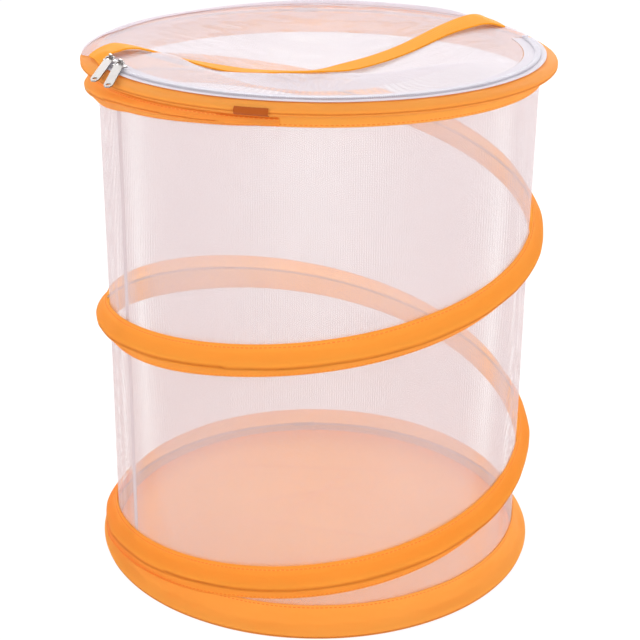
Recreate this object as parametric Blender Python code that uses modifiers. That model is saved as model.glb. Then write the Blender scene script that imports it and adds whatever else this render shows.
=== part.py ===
"""Pop-up insect cage: a net cylinder on spring-steel hoops and a spring coil, with a zipped lid."""
import math

import bmesh
import bpy
from mathutils import Matrix, Vector

# Driving sizes, in metres
HEIGHT = 0.3556              # table to the top of the upper binding
WALL_RADIUS = 0.1455         # outside of the net wall
BINDING_REACH = 0.0110       # how far the bound hoops stand out from the wall
TOP_BINDING_DEPTH = 0.0149   # height of the tape folded round the upper hoop
BASE_BINDING_DEPTH = 0.0175  # height of the tape folded round the lower hoop
BASE_HEM_WIDTH = 0.0093      # tape turned in under the lower hoop
NET_THICKNESS = 0.0006
TAPE_THICKNESS = 0.0006
FLOOR_THICKNESS = 0.0008
GAP = 0.0003                 # running gap between neighbouring pieces

# Spring steel
WIRE_RADIUS = 0.0009
HOOP_INSET = 0.0037          # wire centre to the outer reach of its binding
FOLD_EASE = 0.00235          # slack in the height of the upper fold round its hoop
BASE_HOOP_HEIGHT = 0.0031    # wire centre above the table
BASE_FOLD_EASE = 0.0027      # slack of the lower fold above its hoop
SLEEVE_WALL = 0.0003
FERRULE_LENGTH = 0.0180
END_CAP_LENGTH = 0.0080
END_CAP_BORE_DEPTH = 0.0060

# Spring coil, which leans a little to the rear left
COIL_REACH = 0.0065          # wire centre outside the wall
COIL_DROP = 0.0326           # mean height of the coil's upper end below HEIGHT
COIL_TURNS = 2
COIL_BASE = 0.0090           # mean height of the coil after its last full turn
COIL_LEAN = 0.0110
COIL_LEAN_ANGLE = math.radians(60)
COIL_FIRST_STEP = -4         # whole steps before the left side of the cage
COIL_LAST_STEP = 98          # two turns and two steps
COIL_START_RISE = 0.0035     # extra height of the coil's first quarter turn
CASING_REACH = 0.0090        # outer surface of the coil's tape outside the wall
CASING_UP = 0.0125           # tape above the wire
CASING_DOWN = 0.0090         # tape below the wire
CASING_TOP_LIMIT = 0.0095    # least distance of the tape's upper foot below HEIGHT
CASING_BASE_LIMIT = 0.0060   # least height of the tape's lower foot
CASING_FIRST_STEP = -11      # the tape starts before the wire, under the upper binding
CASING_LEAD_DEPTH = 0.0142   # least distance of the tape's ridge below HEIGHT
CASING_LEAD_DOWN = 0.0015    # tape below its ridge at the very start
CASING_LEAD_REACH = 0.0026   # reach of its ridge at the very start
WIRE_SHORT = 0.0220          # tape that runs on past each end of the wire

# Zip round the front half of the lid
ZIP_INSET = 0.0029           # centre of the chain inside the wall
ZIP_SLIT = 0.0018            # free width between the two rows of teeth
TEETH_RADIUS = 0.0006
RIM_TAPE_WIDTH = 0.0048
FLAP_TAPE_WIDTH = 0.0080
ZIP_TAPE_THICKNESS = 0.0005
ZIP_START = math.radians(-163.0)
ZIP_END = math.radians(13.0)
TEETH_MARGIN = 0.0040        # bare tape beyond each end of the teeth
STOP_LENGTH = 0.0014
STOP_HEIGHT = 0.0018
STOP_MARGIN = 0.0017         # centre of each end stop from the end of the tape
HINGE_START = math.radians(-148.0)
HINGE_END = math.radians(7.0)
HINGE_GAP = 0.0008           # between the flap and the fixed rear of the lid

# Sliders and their pull tabs
SLIDER_LENGTH = 0.0090
SLIDER_WIDTH = 0.0064
SLIDER_PLATE = 0.0010
SLIDER_CLEARANCE = 0.0004
SLIDER_POST_WIDTH = 0.0008
SLIDER_POST_CUT = 0.0025     # how far the post stops short of each end of the slider
BAIL_LENGTH = 0.0046
BAIL_HEIGHT = 0.0040
BAIL_AHEAD = 0.0015          # bail centre ahead of the slider's middle
BAIL_WIRE = 0.0009
BAIL_WIDTH = 0.0012
BAIL_CORNER = 0.0006         # cut across the outer corners of the bail
LEFT_SLIDER_ANGLE = math.radians(-155.2)
RIGHT_SLIDER_ANGLE = math.radians(-148.6)
TAB_LENGTH = 0.0320
TAB_WIDTH = 0.0056
TAB_THICKNESS = 0.0009
TAB_BAR = 0.0011             # bar that passes under the bail
TAB_SLOT_LENGTH = 0.0036
TAB_SLOT_WIDTH = 0.0044
TAB_HOLE_RADIUS = 0.0015
TAB_PIVOT_DROP = 0.0010      # tab's axis below the underside of the bail's top
TAB_DIP = math.radians(15.0)
LEFT_TAB_SPLAY = math.radians(38.0)
RIGHT_TAB_SPLAY = math.radians(40.0)

# Lid net
LID_SAG = 0.0260
LID_SAG_LEAN = 0.3           # how much deeper the net sags towards the rear
LID_RIDGE = 0.0085           # rise of the fold along the front of the lid
LID_EDGE_LAP = 0.0026        # net laid over the upper binding at the rear
RIDGE_FRONT = 0.0800         # distance in front of the axis where the fold is full
RIDGE_FADE = 0.0600
REAR_JUMP = math.radians(1.6)

# Carry strap
STRAP_WIDTH = 0.0200
STRAP_THICKNESS = 0.0012
STRAP_LIFT = 0.0050          # most room between the strap and the lid
STRAP_REACH = 0.0025         # sewn ends beyond the wall
STRAP_LEFT = math.radians(-167.0)
STRAP_RIGHT = math.radians(31.4)

# Small sewn pieces
SEAM_WIDTH = 0.0060
SEAM_ANGLE = math.radians(-150.0)
LABEL_ANGLE = math.radians(-107.0)
LABEL_SPAN = math.radians(7.5)
LABEL_THICKNESS = 0.0004

STEPS = 48                   # facets in a full turn, alike in all nested pieces
STRAP_STATIONS = 24
TOP_HOOP_SHARE = 0.61        # how far down its fold the upper hoop lies
STEP = 2 * math.pi / STEPS

# Places worked out from the sizes above
FOOT_RADIUS = WALL_RADIUS + GAP + TAPE_THICKNESS
BINDING_RADIUS = WALL_RADIUS + BINDING_REACH
HOOP_RADIUS = BINDING_RADIUS - HOOP_INSET
SLEEVE_BORE = WIRE_RADIUS + GAP
SLEEVE_RADIUS = SLEEVE_BORE + SLEEVE_WALL
FOLD_HEIGHT = 2 * (SLEEVE_RADIUS + GAP + TAPE_THICKNESS) + FOLD_EASE
TOP_HOOP_Z = HEIGHT - FOLD_HEIGHT * TOP_HOOP_SHARE
BASE_FOLD_HEIGHT = BASE_HOOP_HEIGHT + SLEEVE_RADIUS + GAP + TAPE_THICKNESS + BASE_FOLD_EASE
COIL_RADIUS = WALL_RADIUS + COIL_REACH
COIL_PITCH = (HEIGHT - COIL_DROP - COIL_BASE) / COIL_TURNS
WALL_TOP = HEIGHT - TAPE_THICKNESS - SLIDER_PLATE
WALL_BASE = FLOOR_THICKNESS + GAP
ZIP_RADIUS = WALL_RADIUS - ZIP_INSET
ZIP_Z = HEIGHT + GAP                                  # underside of the zip's tapes
ZIP_TOP = ZIP_Z + ZIP_TAPE_THICKNESS
TEETH_Z = ZIP_TOP + GAP + TEETH_RADIUS
SLIT_IN = ZIP_RADIUS - ZIP_SLIT / 2
SLIT_OUT = ZIP_RADIUS + ZIP_SLIT / 2
FLAP_TAPE_IN = SLIT_IN - FLAP_TAPE_WIDTH
NET_EDGE = FLAP_TAPE_IN - 2 * GAP
HINGE_Z = ZIP_Z + LID_RIDGE                           # level with the top of the lid's fold
PLATE_Z = TEETH_Z + TEETH_RADIUS + SLIDER_CLEARANCE   # underside of the slider's top plate
BAIL_Z = PLATE_Z + SLIDER_PLATE
TAB_PIVOT_Z = BAIL_Z + BAIL_HEIGHT - BAIL_WIRE - TAB_PIVOT_DROP


def polar(radius, angle, z=0.0):
    return Vector((radius * math.cos(angle), radius * math.sin(angle), z))


HINGE_A = polar(ZIP_RADIUS, HINGE_START, HINGE_Z)
HINGE_B = polar(ZIP_RADIUS, HINGE_END, HINGE_Z)
HINGE_MID = (HINGE_A + HINGE_B) / 2
HINGE_DIR = (HINGE_B - HINGE_A).normalized()
HINGE_REAR = Vector((-HINGE_DIR.y, HINGE_DIR.x, 0.0))
HINGE_OFFSET = HINGE_MID.dot(HINGE_REAR)

# Outlines of the tapes folded round the hoops, from the top down: shares of the reach and of the
# height of the fold round the hoop, or of the leaf that lies on the wall below or above it
TOP_FOLD_SHARES = [(0, 0), (0.3, 0.06), (0.75, 0.33), (0.95, 0.52), (1, 0.7), (0.89, 0.9), (0.5, 1)]
TOP_LEAF_SHARES = [(0.15, 0.27), (0, 1)]
BASE_LEAF_SHARES = [(0, 0), (0.14, 0.55)]
BASE_FOLD_SHARES = [(0.43, 0), (0.78, 0.38), (0.97, 0.6), (1, 0.77), (0.9, 1)]
# Outline of the coil's tape: shares of its reach and of its height above or below the wire
CASING_UP_SHARES = [(0, 1), (0.3, 0.58), (0.73, 0.3), (0.95, 0.15)]
CASING_DOWN_SHARES = [(0.95, 0.2), (0.55, 0.45), (0, 1)]
# Height of the carry strap over the lid: share of its length, share of STRAP_LIFT
STRAP_RISE_SHARES = [(0, 0), (0.02, 0.3), (0.045, 0.65), (0.08, 0.8), (0.12, 0.4), (0.17, 0.2),
                     (0.8, 0.2), (0.85, 0.3), (0.9, 0.65), (0.95, 1), (0.98, 0.55), (1, 0)]


# Scene and materials
def clear_scene():
    for old in list(bpy.data.objects):
        bpy.data.objects.remove(old, do_unlink=True)


def make_collection(name):
    found = bpy.data.collections.get(name)
    if found is None:
        found = bpy.data.collections.new(name)
        bpy.context.scene.collection.children.link(found)
    return found


def material(name, colour, roughness, metallic=0.0, alpha=1.0):
    made = bpy.data.materials.new(name)
    made.use_nodes = True
    shader = made.node_tree.nodes["Principled BSDF"]
    shader.inputs["Base Color"].default_value = (*colour, 1.0)
    shader.inputs["Roughness"].default_value = roughness
    shader.inputs["Metallic"].default_value = metallic
    shader.inputs["Alpha"].default_value = alpha
    made.diffuse_color = (*colour, alpha)
    return made


clear_scene()
PARTS = make_collection("insect_cage")
CUTTERS = make_collection("insect_cage_cutters")
ORANGE = (0.95, 0.42, 0.09)
FLOOR_ORANGE = (0.93, 0.50, 0.22)
WHITE = (0.9, 0.89, 0.88)
STEEL = (0.62, 0.62, 0.63)
BROWN = (0.36, 0.19, 0.08)


# Small modelling tools
def add_object(name, data, finish, collection=PARTS):
    made = bpy.data.objects.new(name, data)
    collection.objects.link(made)
    if finish is not None:
        data.materials.append(finish)
    return made


def smooth(mesh, angle=math.radians(40)):
    mesh.shade_smooth()
    mesh.set_sharp_from_angle(angle=angle)


def solidify(target, thickness, even=True):
    shell = target.modifiers.new("Solidify", 'SOLIDIFY')
    shell.thickness = thickness
    shell.offset = -1.0
    shell.use_even_offset = even


def turned_sheet(name, outline, thickness, finish, start=0.0, span=2 * math.pi):
    """Turn an open outline of (radius, z) points about Z, then thicken it inwards."""
    mesh = bpy.data.meshes.new(name)
    edges = [(i, i + 1) for i in range(len(outline) - 1)]
    mesh.from_pydata([(r, 0.0, z) for r, z in outline], edges, [])
    made = add_object(name, mesh, finish)
    made.rotation_euler = (0.0, 0.0, start)
    full = abs(span - 2 * math.pi) < STEP / STEPS
    screw = made.modifiers.new("Screw", 'SCREW')
    screw.axis = 'Z'
    screw.angle = span
    screw.steps = STEPS if full else max(1, math.ceil(span / STEP))
    screw.render_steps = screw.steps
    screw.use_merge_vertices = full
    screw.merge_threshold = TAPE_THICKNESS / STEPS
    screw.use_smooth_shade = True
    solidify(made, thickness)
    return made


def grid_sheet(name, rows, thickness, finish, even=True):
    """Thicken an open grid of points, which may lack some corners of its last row."""
    columns = len(rows[0])
    spots = [(j, i) for j, row in enumerate(rows) for i, p in enumerate(row) if p is not None]
    number = {spot: k for k, spot in enumerate(spots)}
    points = [tuple(rows[j][i]) for j, i in spots]
    cells = [((j, i), (j, i + 1), (j + 1, i + 1), (j + 1, i))
             for j in range(len(rows) - 1) for i in range(columns - 1)]
    faces = [[number[spot] for spot in cell] for cell in cells
             if all(spot in number for spot in cell)]
    mesh = bpy.data.meshes.new(name)
    mesh.from_pydata(points, [], faces)
    smooth(mesh)
    made = add_object(name, mesh, finish)
    solidify(made, thickness, even)
    return made


def wire(name, points, radius, finish, closed=False):
    curve = bpy.data.curves.new(name, 'CURVE')
    curve.dimensions = '3D'
    curve.bevel_depth = radius
    curve.bevel_resolution = 1
    curve.use_fill_caps = not closed
    spline = curve.splines.new('POLY')
    spline.points.add(len(points) - 1)
    for spot, point in zip(spline.points, points):
        spot.co = (*point, 1.0)
    spline.use_cyclic_u = closed
    return add_object(name, curve, finish)


def plate(name, outlines, thickness, finish, place, collection=PARTS):
    """A flat plate from closed outlines in its own XY plane, made a mesh at the given place."""
    curve = bpy.data.curves.new(name, 'CURVE')
    curve.dimensions = '2D'
    curve.fill_mode = 'BOTH'
    curve.extrude = thickness / 2
    for outline in outlines:
        spline = curve.splines.new('POLY')
        spline.points.add(len(outline) - 1)
        for spot, (x, y) in zip(spline.points, outline):
            spot.co = (x, y, 0.0, 1.0)
        spline.use_cyclic_u = True
    rough = bpy.data.objects.new(name + "_outline", curve)
    PARTS.objects.link(rough)
    bpy.context.view_layer.update()
    mesh = bpy.data.meshes.new_from_object(rough.evaluated_get(
        bpy.context.evaluated_depsgraph_get()))
    bpy.data.objects.remove(rough, do_unlink=True)
    work = bmesh.new()
    work.from_mesh(mesh)
    bmesh.ops.remove_doubles(work, verts=work.verts, dist=thickness / STEPS)
    bmesh.ops.recalc_face_normals(work, faces=work.faces)
    work.to_mesh(mesh)
    work.free()
    mesh.name = name
    mesh.materials.clear()
    made = add_object(name, mesh, finish, collection)
    made.matrix_world = place
    return made


def block(name, width, depth, height, finish, centre, turn):
    """A box with its width along the radius, turned about its own upright axis."""
    mesh = bpy.data.meshes.new(name)
    work = bmesh.new()
    bmesh.ops.create_cube(work, size=1.0)
    work.to_mesh(mesh)
    work.free()
    mesh.transform(Matrix.Diagonal((width, depth, height, 1.0)))
    made = add_object(name, mesh, finish)
    made.location = centre
    made.rotation_euler = (0.0, 0.0, turn)
    return made


def turned_solid(name, outline, finish, place, steps):
    """Turn a closed outline of (radius, z) points about its own Z axis."""
    mesh = bpy.data.meshes.new(name)
    edges = [(i, i + 1) for i in range(len(outline) - 1)]
    if outline[0][0] > 0:
        edges.append((len(outline) - 1, 0))
    mesh.from_pydata([(r, 0.0, z) for r, z in outline], edges, [])
    made = add_object(name, mesh, finish)
    screw = made.modifiers.new("Screw", 'SCREW')
    screw.axis = 'Z'
    screw.steps = steps
    screw.render_steps = steps
    screw.use_merge_vertices = True
    screw.merge_threshold = SLEEVE_WALL / STEPS
    screw.use_smooth_shade = False
    made.matrix_world = place
    return made


def empty(name, place):
    made = bpy.data.objects.new(name, None)
    made.empty_display_size = TAB_LENGTH
    made.matrix_world = place
    PARTS.objects.link(made)
    bpy.context.view_layer.update()
    return made


def carry(parent, *pieces):
    bpy.context.view_layer.update()
    for piece in pieces:
        place = piece.matrix_world.copy()
        piece.parent = parent
        piece.matrix_parent_inverse = parent.matrix_world.inverted()
        piece.matrix_world = place


def frame_at(origin, x_axis, y_axis):
    """A place whose X and Y axes are given and whose Z axis follows from them."""
    x = x_axis.normalized()
    z = x.cross(y_axis).normalized()
    y = z.cross(x)
    turned = Matrix((x, y, z)).transposed().to_4x4()
    return Matrix.Translation(origin) @ turned


def eased(share):
    share = min(max(share, 0.0), 1.0)
    return share * share * (3 - 2 * share)


def between(table, value):
    """Height at a place in a table of (place, height) pairs, eased from pair to pair."""
    for (a, low), (b, high) in zip(table, table[1:]):
        if value <= b:
            return low + (high - low) * eased((value - a) / (b - a))
    return table[-1][1]


# Tape bindings
def fold_outline(shares, top, depth):
    return [(FOOT_RADIUS + r * (BINDING_RADIUS - FOOT_RADIUS), top - z * depth)
            for r, z in shares]


TOP_FOLD = (fold_outline(TOP_FOLD_SHARES, HEIGHT, FOLD_HEIGHT)
            + fold_outline(TOP_LEAF_SHARES, HEIGHT - FOLD_HEIGHT, TOP_BINDING_DEPTH - FOLD_HEIGHT))
BASE_FOLD = (fold_outline(BASE_LEAF_SHARES, BASE_BINDING_DEPTH,
                          BASE_BINDING_DEPTH - BASE_FOLD_HEIGHT)
             + fold_outline(BASE_FOLD_SHARES, BASE_FOLD_HEIGHT, BASE_FOLD_HEIGHT))
BASE_HEM = BASE_FOLD[-1][0] - BASE_HEM_WIDTH


def binding_surface(z):
    """Radius of what lies inside the coil's tape at a height: the wall or a binding."""
    radius = WALL_RADIUS
    lower = [p for p in TOP_FOLD if p[1] <= HEIGHT - FOLD_HEIGHT]
    for outline in (lower, BASE_FOLD):
        for (r_a, z_a), (r_b, z_b) in zip(outline, outline[1:]):
            if z_b <= z <= z_a and z_a > z_b:
                radius = max(radius, r_b + (r_a - r_b) * (z - z_b) / (z_a - z_b) + GAP)
    return radius


def make_bindings(orange):
    turned_sheet("top_binding", TOP_FOLD, TAPE_THICKNESS, orange)
    turned_sheet("base_binding", BASE_FOLD + [(BASE_HEM, 0.0)], TAPE_THICKNESS, orange)


# Spring steel
def coil_height(turn):
    drop = COIL_PITCH * turn / (2 * math.pi)
    start = COIL_START_RISE * eased(1 - 4 * turn / (2 * math.pi))
    return HEIGHT - COIL_DROP - drop + start + COIL_LEAN * math.cos(turn - COIL_LEAN_ANGLE)


def coil_point(radius, turn, rise=0.0):
    return polar(radius, math.pi - turn, coil_height(turn) + rise)


def least_self_gap(points, radius):
    """Least clear distance of a tube to itself, past one turn's half along its length."""
    near = STEPS // 2
    least = min((a - b).length for i, a in enumerate(points) for b in points[i + near:])
    return least - 2 * radius


def sleeve_outline(length, closed_end=0.0):
    """Half section of a sleeve, or of a cap when one end is closed, from the top down."""
    if closed_end > 0:
        return [(0.0, length), (SLEEVE_RADIUS, length), (SLEEVE_RADIUS, 0.0),
                (SLEEVE_BORE, 0.0), (SLEEVE_BORE, length - closed_end),
                (0.0, length - closed_end)]
    return [(SLEEVE_RADIUS, length), (SLEEVE_RADIUS, 0.0), (SLEEVE_BORE, 0.0),
            (SLEEVE_BORE, length)]


def along(direction, origin):
    """A place whose Z axis runs along a direction."""
    side = Vector((0.0, 0.0, 1.0)) if abs(direction.z) < direction.length / 2 else Vector((1, 0, 0))
    z = direction.normalized()
    x = side.cross(z).normalized()
    turned = Matrix((x, z.cross(x), z)).transposed().to_4x4()
    return Matrix.Translation(origin) @ turned


def make_hoop(prefix, height, steel):
    ring = [polar(HOOP_RADIUS, i * STEP, height) for i in range(STEPS)]
    wire(prefix + "_hoop_wire", ring, WIRE_RADIUS, steel, closed=True)
    # The crimped sleeve over the joint lies along the middle of one facet at the rear
    middle = (ring[STEPS // 4] + ring[STEPS // 4 + 1]) / 2
    run = (ring[STEPS // 4 + 1] - ring[STEPS // 4]).normalized()
    turned_solid(prefix + "_hoop_ferrule", sleeve_outline(FERRULE_LENGTH), steel,
                 along(run, middle - run * FERRULE_LENGTH / 2), 8)


def make_coil(steel, rubber):
    turns = [i * STEP for i in range(COIL_FIRST_STEP + 1, COIL_LAST_STEP)]
    points = [coil_point(COIL_RADIUS, turn) for turn in turns]
    first = points[0] + (points[1] - points[0]).normalized() * (WIRE_SHORT - COIL_RADIUS * STEP)
    last = points[-1] + (points[-2] - points[-1]).normalized() * (WIRE_SHORT - COIL_RADIUS * STEP)
    points = [first] + points[1:-1] + [last]
    print("coil_wire least gap to itself", round(least_self_gap(points, WIRE_RADIUS), 5), "m")
    wire("coil_wire", points, WIRE_RADIUS, steel)
    closed_end = END_CAP_LENGTH - END_CAP_BORE_DEPTH
    for name, end, inner in (("coil_cap_upper", first, points[1]),
                             ("coil_cap_lower", last, points[-2])):
        out = (end - inner).normalized()
        mouth = end + out * GAP - out * END_CAP_BORE_DEPTH
        turned_solid(name, sleeve_outline(END_CAP_LENGTH, closed_end), rubber,
                     along(out, mouth), 8)


def casing_leaf(turn, ridge, centre, foot_z, shares):
    """One side of the coil's tape at a turn, between its ridge and its foot."""
    foot = binding_surface(foot_z) + GAP + TAPE_THICKNESS
    return [polar(foot + (ridge - foot) * out, math.pi - turn, centre + (foot_z - centre) * far)
            for out, far in shares]


def make_casing(orange):
    """The coil's tape: a fold over the wire whose two feet lie on the wall or on a binding."""
    rows = []
    lead_in = COIL_FIRST_STEP - CASING_FIRST_STEP
    for step in range(CASING_FIRST_STEP, COIL_LAST_STEP + 1):
        turn = step * STEP
        full = eased((step - CASING_FIRST_STEP) / lead_in)
        centre = min(coil_height(turn), HEIGHT - CASING_LEAD_DEPTH)
        reach = CASING_LEAD_REACH + (CASING_REACH - CASING_LEAD_REACH) * full
        below = CASING_LEAD_DOWN + (CASING_DOWN - CASING_LEAD_DOWN) * full
        ridge = WALL_RADIUS + reach
        high = min(centre + CASING_UP, HEIGHT - CASING_TOP_LIMIT)
        low = max(centre - below, CASING_BASE_LIMIT)
        rows.append(casing_leaf(turn, ridge, centre, high, CASING_UP_SHARES)
                    + [polar(ridge, math.pi - turn, centre)]
                    + casing_leaf(turn, ridge, centre, low, CASING_DOWN_SHARES))
    grid_sheet("coil_casing", rows, TAPE_THICKNESS, orange)


# Net wall, floor and seam
def make_body(net, floor, white):
    turned_sheet("wall_net", [(WALL_RADIUS, WALL_TOP), (WALL_RADIUS, WALL_BASE)],
                 NET_THICKNESS, net)
    mesh = bpy.data.meshes.new("floor_panel")
    work = bmesh.new()
    radius = BASE_HEM - GAP
    bmesh.ops.create_cone(work, cap_ends=True, segments=STEPS, radius1=radius, radius2=radius,
                          depth=FLOOR_THICKNESS)
    work.to_mesh(mesh)
    work.free()
    panel = add_object("floor_panel", mesh, floor)
    panel.location = (0.0, 0.0, FLOOR_THICKNESS / 2)
    half = SEAM_WIDTH / 2
    face = WALL_RADIUS - NET_THICKNESS - GAP - half * math.tan(STEP / 2)
    block("wall_seam", NET_THICKNESS, SEAM_WIDTH, WALL_TOP - WALL_BASE, white,
          polar(face - NET_THICKNESS / 2, SEAM_ANGLE, (WALL_TOP + WALL_BASE) / 2), SEAM_ANGLE)


# Zip
def flat_arc(name, inner, outer, top, thickness, start, end, finish):
    return turned_sheet(name, [(inner, top), (outer, top)], thickness, finish, start,
                        end - start)


def teeth_arc(name, radius, start, end, finish):
    count = max(1, math.ceil((end - start) / STEP))
    points = [polar(radius, start + (end - start) * i / count, TEETH_Z)
              for i in range(count + 1)]
    return wire(name, points, TEETH_RADIUS, finish)


def make_zip(tape, teeth):
    margin = TEETH_MARGIN / ZIP_RADIUS
    cut = HINGE_GAP / 2 / ZIP_RADIUS
    rim_out = SLIT_OUT + RIM_TAPE_WIDTH
    rows_out = SLIT_OUT + TEETH_RADIUS
    rows_in = SLIT_IN - TEETH_RADIUS
    first, last = ZIP_START + margin, ZIP_END - margin
    pieces = {}
    pieces["rim"] = [
        flat_arc("zip_rim_tape", SLIT_OUT, rim_out, ZIP_TOP, ZIP_TAPE_THICKNESS, ZIP_START,
                 ZIP_END, tape),
        teeth_arc("zip_rim_teeth", rows_out, first, last, teeth)]
    spans = (("left", ZIP_START, first, HINGE_START - cut, HINGE_START - cut),
             ("right", HINGE_END + cut, HINGE_END + cut, ZIP_END, last))
    for side, tape_a, teeth_a, tape_b, teeth_b in spans:
        pieces["rim"].append(flat_arc("zip_end_tape_" + side, FLAP_TAPE_IN, SLIT_IN, ZIP_TOP,
                                      ZIP_TAPE_THICKNESS, tape_a, tape_b, tape))
        pieces["rim"].append(teeth_arc("zip_end_teeth_" + side, rows_in, teeth_a, teeth_b, teeth))
    pieces["flap"] = [
        flat_arc("zip_flap_tape", FLAP_TAPE_IN, SLIT_IN, ZIP_TOP, ZIP_TAPE_THICKNESS,
                 HINGE_START + cut, HINGE_END - cut, tape),
        teeth_arc("zip_flap_teeth", rows_in, HINGE_START + cut, HINGE_END - cut, teeth)]
    stop_in = rows_in - TEETH_RADIUS
    stop_out = rows_out + TEETH_RADIUS
    for side, angle in (("left", ZIP_START + STOP_MARGIN / ZIP_RADIUS),
                        ("right", ZIP_END - STOP_MARGIN / ZIP_RADIUS)):
        centre = polar((stop_in + stop_out) / 2, angle, ZIP_TOP + GAP + STOP_HEIGHT / 2)
        pieces["rim"].append(block("zip_stop_" + side, stop_out - stop_in, STOP_LENGTH,
                                   STOP_HEIGHT, teeth, centre, angle))
    return pieces


# Sliders and pull tabs
def circle(radius, x, count=12):
    return [(x + radius * math.cos(2 * math.pi * i / count),
             radius * math.sin(2 * math.pi * i / count)) for i in range(count)]


def make_slider(side, angle, splay, metal):
    name = "slider_" + side
    out = polar(1.0, angle)
    ahead = Vector((-out.y, out.x, 0.0))
    up = Vector((0.0, 0.0, 1.0))
    centre = polar(ZIP_RADIUS, angle)
    half = SLIDER_WIDTH / 2
    under = ZIP_Z - SLIDER_CLEARANCE
    mid = (under - SLIDER_PLATE + BAIL_Z) / 2
    # Two plates, one over and one under the chain, drawn as the section along its run
    place = frame_at(centre + up * mid, out, up)
    rise = BAIL_Z - mid
    plates = plate(name, [[(-half, rise - SLIDER_PLATE), (half, rise - SLIDER_PLATE),
                           (half, rise), (-half, rise)]], SLIDER_LENGTH, metal, place)
    tool_under = plate(name + "_under", [[(-half, -rise), (half, -rise),
                                          (half, SLIDER_PLATE - rise),
                                          (-half, SLIDER_PLATE - rise)]],
                       SLIDER_LENGTH, None, place, CUTTERS)
    post = SLIDER_POST_WIDTH / 2
    sunk = rise - SLIDER_PLATE / 2
    tool_post = plate(name + "_post", [[(-post, -sunk), (post, -sunk), (post, sunk),
                                        (-post, sunk)]],
                      SLIDER_LENGTH - 2 * SLIDER_POST_CUT, None, place, CUTTERS)
    # The bail is a flat arch in line with the chain
    foot = -SLIDER_PLATE / 2
    long, inner = BAIL_LENGTH / 2, BAIL_LENGTH / 2 - BAIL_WIRE
    corner = BAIL_CORNER
    arch = [(-long, foot), (-inner, foot), (-inner, BAIL_HEIGHT - BAIL_WIRE - corner / 2),
            (-inner + corner / 2, BAIL_HEIGHT - BAIL_WIRE),
            (inner - corner / 2, BAIL_HEIGHT - BAIL_WIRE),
            (inner, BAIL_HEIGHT - BAIL_WIRE - corner / 2), (inner, foot), (long, foot),
            (long, BAIL_HEIGHT - corner), (long - corner, BAIL_HEIGHT),
            (-long + corner, BAIL_HEIGHT), (-long, BAIL_HEIGHT - corner)]
    tool_bail = plate(name + "_bail", [arch], BAIL_WIDTH, None,
                      frame_at(centre + ahead * BAIL_AHEAD + up * BAIL_Z, ahead, up), CUTTERS)
    for tool in (tool_under, tool_post, tool_bail):
        tool.hide_render = True
        tool.display_type = 'WIRE'
        joined = plates.modifiers.new(tool.name, 'BOOLEAN')
        joined.operation = 'UNION'
        joined.solver = 'EXACT'
        joined.object = tool

    # The tab lies forward along the track, turned outwards over the binding, and dips
    flat_dir = ahead * math.cos(splay) + out * math.sin(splay)
    run = flat_dir * math.cos(TAB_DIP) - up * math.sin(TAB_DIP)
    across = up.cross(flat_dir)
    pivot = centre + ahead * BAIL_AHEAD + up * TAB_PIVOT_Z
    wide, bar = TAB_WIDTH / 2, TAB_BAR / 2
    slot = TAB_SLOT_WIDTH / 2
    tip = TAB_LENGTH - bar
    neck = wide * math.sin(math.radians(60))
    body = [(-bar, -neck), (bar, -wide), (tip - wide, -wide), (tip - wide / 2, -neck),
            (tip, -wide / 2), (tip, wide / 2), (tip - wide / 2, neck), (tip - wide, wide),
            (bar, wide), (-bar, neck)]
    window = [(bar, -slot), (bar, slot), (bar + TAB_SLOT_LENGTH, slot),
              (bar + TAB_SLOT_LENGTH, -slot)]
    tab = plate("pull_tab_" + side, [body, window, circle(TAB_HOLE_RADIUS, tip - wide)],
                TAB_THICKNESS, metal, frame_at(pivot, run, across))
    print(name, "pivot", [round(c, 5) for c in pivot], "axis",
          [round(c, 5) for c in -across])
    return plates, tab, pivot


# Lid
def lid_height(x, y):
    """Underside of the lid net: flat over the zip's tape, slack in the middle, folded in front."""
    share = min(math.hypot(x, y) / NET_EDGE, 1.0)
    sag = LID_SAG * (1 - share ** 2) ** 2 * (1 + LID_SAG_LEAN * y / NET_EDGE)
    front = eased((RIDGE_FADE - RIDGE_FRONT - y) / RIDGE_FADE)
    inward = min((1 - share) * 2, 1.0)
    return ZIP_Z - sag + LID_RIDGE * front * (4 * inward * (1 - inward)) ** 2


def lid_point(spot):
    return Vector((spot.x, spot.y, lid_height(spot.x, spot.y) + NET_THICKNESS))


def lid_part(name, angles, offset, turn, rows, finish, outer_of=None):
    """Loft from a line along the hinge to an arc inside the zip, as a sheet of the lid."""
    half = math.sqrt(NET_EDGE ** 2 - offset ** 2) - GAP
    last = len(angles) - 1
    grid = []
    for k in range(rows + 1):
        line = []
        for i, angle in enumerate(angles):
            on_hinge = (HINGE_DIR * half * turn * math.cos(math.pi * i / last)
                        + HINGE_REAR * offset)
            line.append(lid_point(on_hinge.lerp(polar(NET_EDGE, angle), k / rows)))
        grid.append(line)
    if outer_of is not None:
        radii = [outer_of(angle) for angle in angles]
        grid.append([None if radius is None else lid_point(polar(radius, angle))
                     for radius, angle in zip(radii, angles)])
    return grid_sheet(name, [line[::-1] for line in grid], NET_THICKNESS, finish, even=False)


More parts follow.
